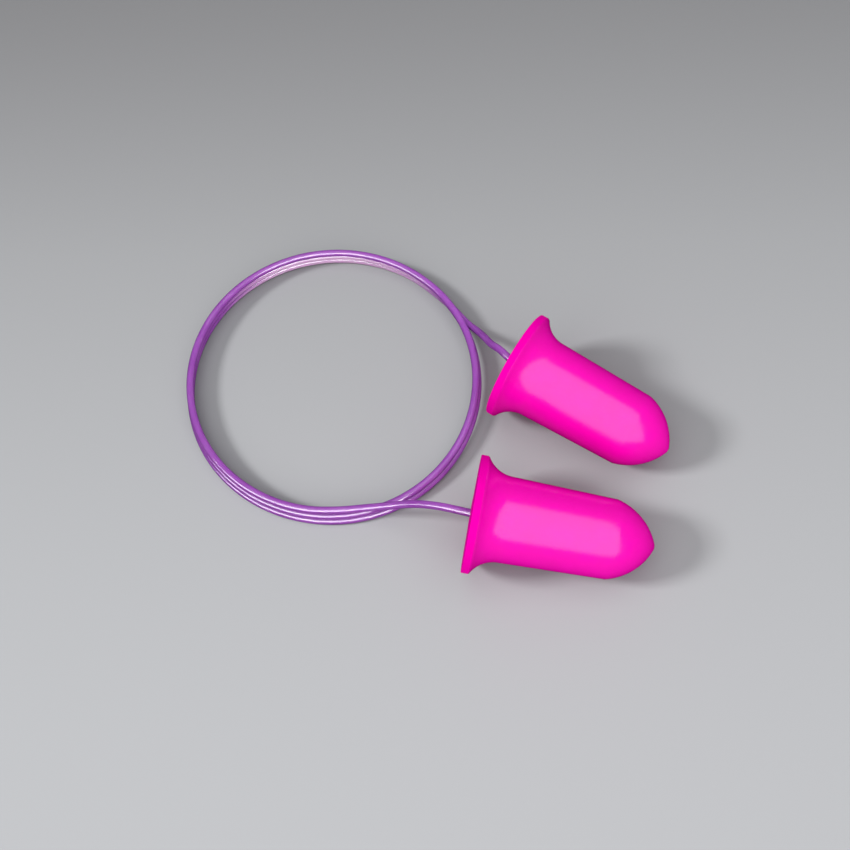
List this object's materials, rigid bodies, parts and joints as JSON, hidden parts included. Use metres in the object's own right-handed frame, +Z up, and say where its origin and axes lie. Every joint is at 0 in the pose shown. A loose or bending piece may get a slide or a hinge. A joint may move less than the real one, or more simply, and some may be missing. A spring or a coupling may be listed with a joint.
{
  "type": "corded foam ear plugs",
  "caption": "Pair of bell-shaped foam ear plugs with flared flanges, joined by a thin glossy plastic cord wound in a neat coil.",
  "frame": {"origin": "on the surface that the plugs lie on, under the middle of the box around the two plugs", "axes": "+Z up; +X from the coil of cord towards the plugs' noses; +Y from the front plug towards the rear plug"},
  "size_m": [0.0737, 0.0577, 0.0162],
  "materials": {
    "foam": "matte",
    "cord": "gloss",
    "adhesive": "satin"
  },
  "bodies": {
    "cord": {"cord_coil": "cord", "front_cord_tail": "cord", "rear_cord_tail": "cord"},
    "front": {"front_plug": "foam", "front_glue": "adhesive", "front_cord_end": "cord"},
    "rear": {"rear_plug": "foam", "rear_glue": "adhesive", "rear_cord_end": "cord"}
  },
  "joints": [
    {"name": "front_plug_swing", "type": "hinge", "parent": "cord", "child": "front", "pos_m": [-0.01294, -0.01109, 0.00817], "axis": [0, 0, 1], "range_deg": [-35, 10]},
    {"name": "rear_plug_swing", "type": "hinge", "parent": "cord", "child": "rear", "pos_m": [-0.00698, 0.01225, 0.00817], "axis": [0, 0, 1], "range_deg": [-3, 22]}
  ]
}
